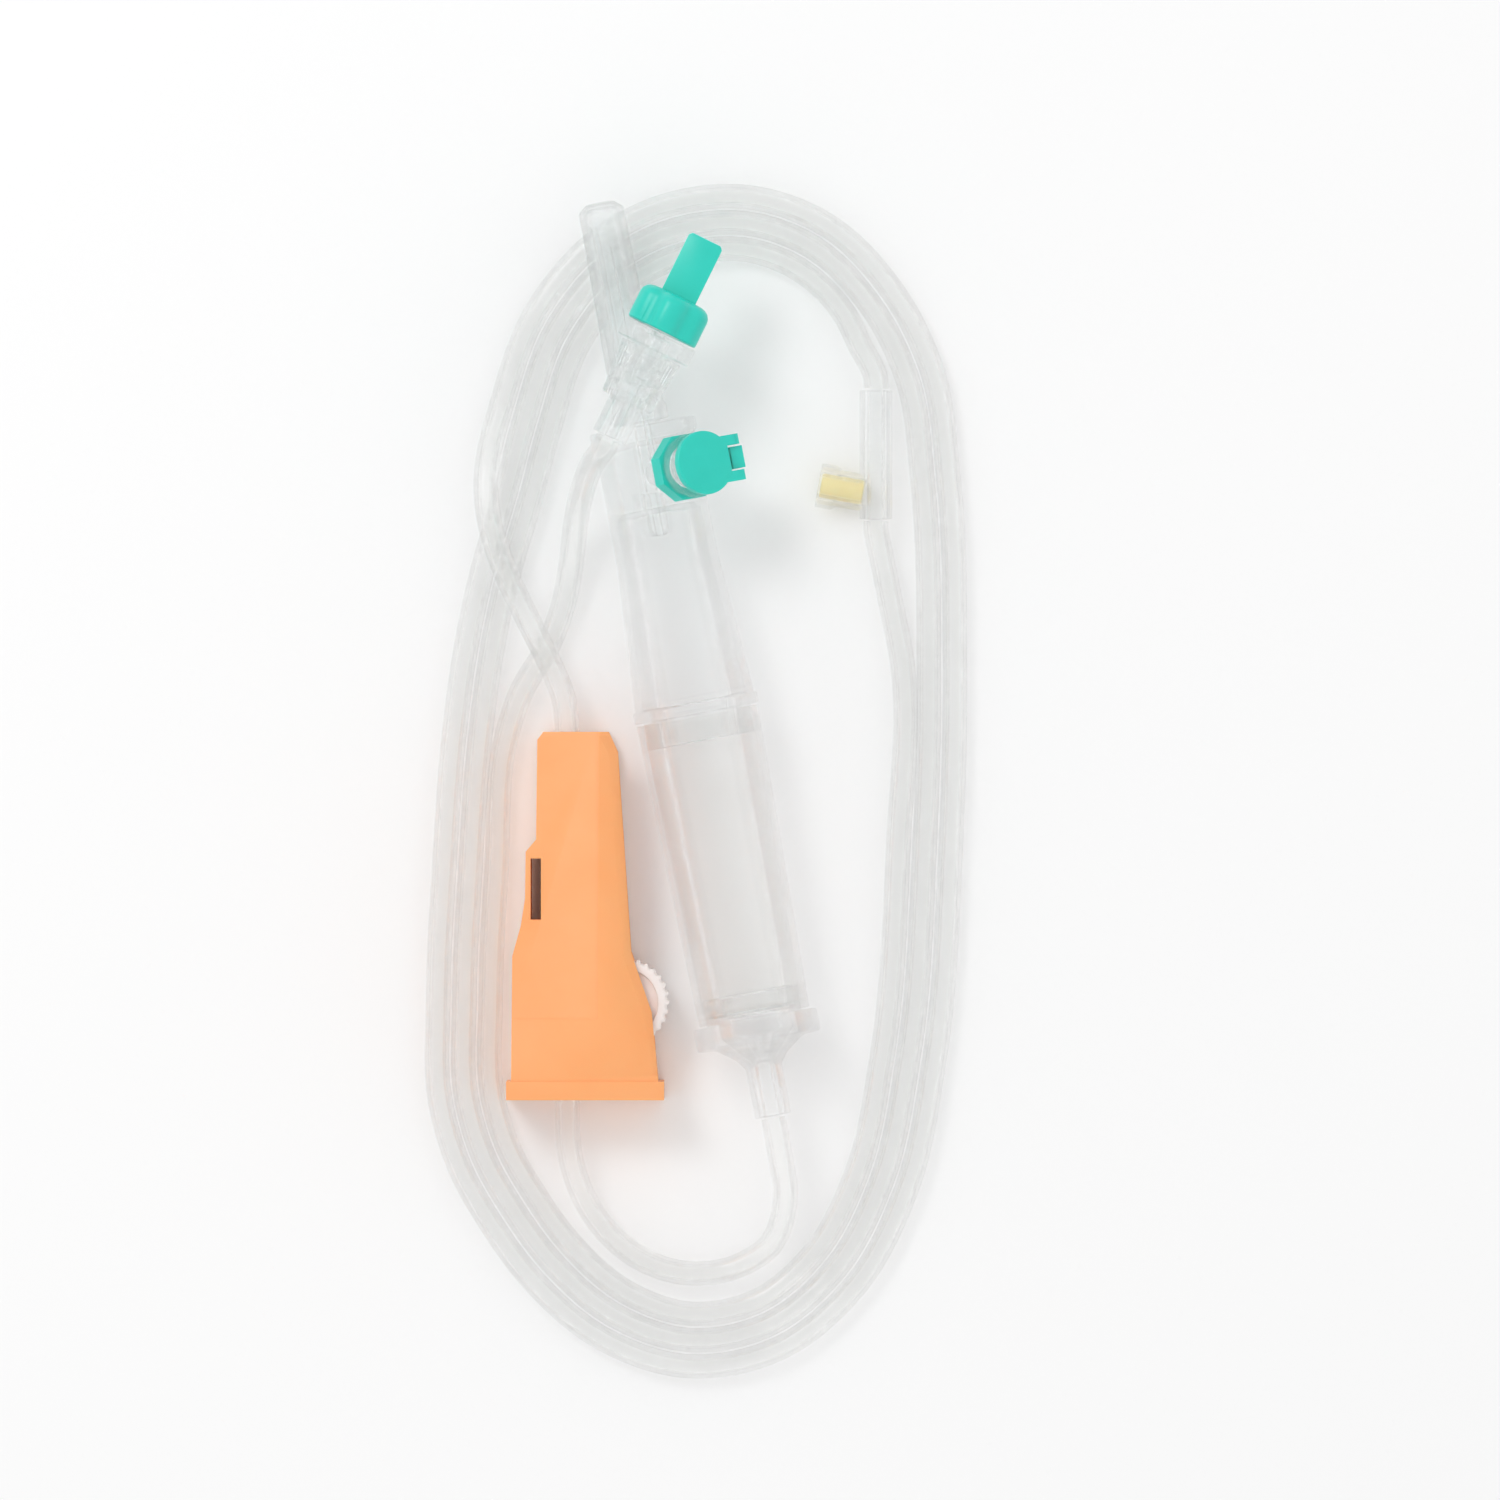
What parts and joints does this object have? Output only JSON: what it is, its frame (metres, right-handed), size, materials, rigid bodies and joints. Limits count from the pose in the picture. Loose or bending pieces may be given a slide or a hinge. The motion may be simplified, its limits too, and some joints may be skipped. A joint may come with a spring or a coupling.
{
  "type": "iv infusion set",
  "caption": "Gravity infusion set laid flat: vented drip chamber with capped spike, looped clear tubing, orange roller clamp, injection site and capped locking connector.",
  "frame": {"origin": "on the floor under the middle of the box round every piece except the two tubes", "axes": "+X right and +Y up as seen from above with the spike away from the viewer, +Z up from the floor"},
  "size_m": [0.0888, 0.1958, 0.0275],
  "materials": {
    "clear_hard": "clear, moulded",
    "clear_soft": "clear, soft, extruded",
    "teal": "satin, moulded",
    "orange": "satin, moulded",
    "white_hard": "satin, moulded",
    "yellow_rubber": "matt",
    "filter_white": "matt membrane"
  },
  "bodies": {
    "set": {"filter_holder": "clear_hard", "fluid_filter": "filter_white", "drip_chamber": "clear_soft", "spike_housing": "clear_hard", "drop_nozzle": "clear_hard", "vent_membrane": "filter_white", "vent_bezel": "clear_hard", "vent_collar": "teal", "main_tube": "clear_soft", "patient_tube": "clear_soft", "clamp_body": "orange", "site_body": "clear_hard", "site_septum": "yellow_rubber", "luer_connector": "clear_hard"},
    "spike_cap": {"spike_cap": "clear_hard"},
    "vent_flap": {"vent_flap": "teal"},
    "roller": {"clamp_roller": "white_hard"},
    "lock_collar": {"lock_collar": "clear_hard"},
    "end_cap": {"end_cap": "teal", "cap_seat": "clear_hard", "cap_membrane": "filter_white"}
  },
  "joints": [
    {"name": "spike_cap_pull", "type": "slide", "parent": "set", "child": "spike_cap", "axis": [-0.1867, 0.9824, 0], "range_m": [0, 0.042]},
    {"name": "vent_flap_hinge", "type": "hinge", "parent": "set", "child": "vent_flap", "pos_m": [0.00576, 0.03291, 0.02071], "axis": [-0.1867, 0.9824, 0], "range_deg": [0, 115]},
    {"name": "roller_slide", "type": "slide", "parent": "set", "child": "roller", "axis": [-0.1115, 0.9938, 0], "range_m": [0, 0.0296], "deforming": ["main_tube"]},
    {"name": "lock_collar_spin", "type": "hinge", "parent": "set", "child": "lock_collar", "pos_m": [-0.01236, 0.04158, 0.0202], "axis": [0.4431, 0.8965, 0], "continuous": true},
    {"name": "end_cap_pull", "type": "slide", "parent": "set", "child": "end_cap", "axis": [0.4431, 0.8965, 0], "range_m": [0, 0.026]}
  ]
}
